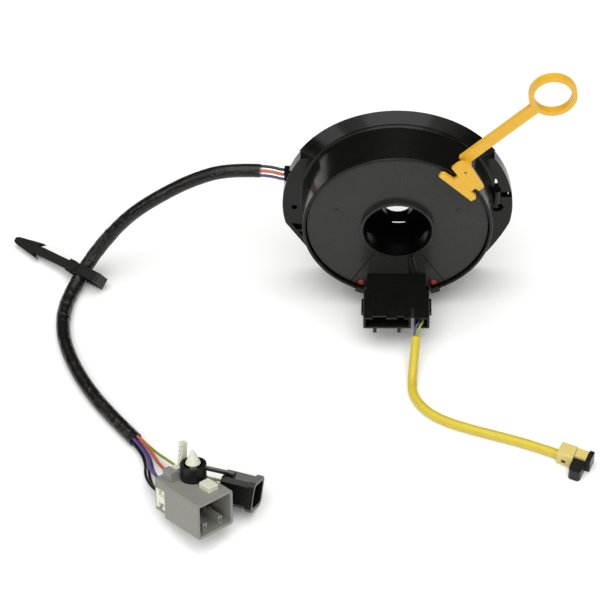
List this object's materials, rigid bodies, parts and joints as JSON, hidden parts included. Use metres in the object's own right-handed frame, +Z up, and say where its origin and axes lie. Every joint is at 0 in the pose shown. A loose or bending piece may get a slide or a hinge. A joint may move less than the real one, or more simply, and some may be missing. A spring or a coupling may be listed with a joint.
{
  "type": "steering clock spring",
  "caption": "Steering clock spring: round rotor in a flanged case with a connector tower, a pull-ring shipping lock and two wiring leads that end in plugs.",
  "frame": {"origin": "on the turning axis, at the rear face of the case's flange, inside the bore that seats on the column tube", "axes": "+Y down the steering column, -Y at the steering wheel and the driver, +Z up, +X to the right as seen from the wheel"},
  "size_m": [0.3412, 0.2326, 0.1712],
  "materials": {
    "black_plastic": "satin, moulded",
    "zinc_steel": "zinc plated",
    "ribbon_film": "clear film over copper",
    "wire_insulation": "several colours, extruded",
    "black_sleeve": "soft PVC tube",
    "black_nylon": "moulded",
    "grey_plastic": "moulded",
    "white_nylon": "moulded",
    "natural_nylon": "unpigmented",
    "tinned_brass": "tin plated",
    "spring_steel": "oiled",
    "red_plastic": "moulded",
    "yellow_plastic": "moulded",
    "yellow_sleeve": "soft PVC tube",
    "squib_yellow": "moulded"
  },
  "bodies": {
    "stator": {"outer_case": "black_plastic", "rear_cover": "black_plastic", "cover_screws": "zinc_steel", "ribbon_cable": "ribbon_film", "wire_exit_guide": "black_plastic", "exit_wires": "wire_insulation", "harness_sleeve": "black_sleeve", "clip_strap": "black_nylon", "edge_clip": "black_nylon", "plug_wires": "wire_insulation", "grey_plug_body": "grey_plastic", "grey_plug_pins": "tinned_brass", "black_plug_wires": "wire_insulation", "black_plug_body": "black_plastic", "black_plug_pins": "tinned_brass", "nylon_post": "natural_nylon", "nylon_block": "natural_nylon", "nylon_tip": "natural_nylon", "plug_strap": "black_nylon"},
    "rotor": {"rotor_disc": "black_plastic", "hub_sleeve": "natural_nylon", "retaining_ring": "spring_steel", "connector_carrier": "black_plastic", "carrier_rivets": "red_plastic", "connector_tower": "black_plastic", "tower_blades": "tinned_brass", "face_wires": "wire_insulation", "squib_wires": "wire_insulation", "squib_sleeve": "yellow_sleeve", "squib_plug_body": "squib_yellow", "squib_plug_nose": "black_plastic"},
    "lock": {"lock_tab": "yellow_plastic"},
    "plug_lock": {"grey_plug_lock": "white_nylon"},
    "squib_lock": {"squib_plug_lock": "squib_yellow"}
  },
  "joints": [
    {"name": "rotor_spin", "type": "hinge", "parent": "stator", "child": "rotor", "pos_m": [0, 0, 0], "axis": [0, 1, 0], "range_deg": [-900, 900]},
    {"name": "lock_pull", "type": "slide", "parent": "rotor", "child": "lock", "axis": [0, -1, 0], "range_m": [0, 0.015]},
    {"name": "plug_lock_slide", "type": "slide", "parent": "stator", "child": "plug_lock", "axis": [-0.7004, -0.6688, 0.2492], "range_m": [0, 0.0015]},
    {"name": "squib_lock_slide", "type": "slide", "parent": "rotor", "child": "squib_lock", "axis": [0, 0, 1], "range_m": [0, 0.0015]}
  ]
}
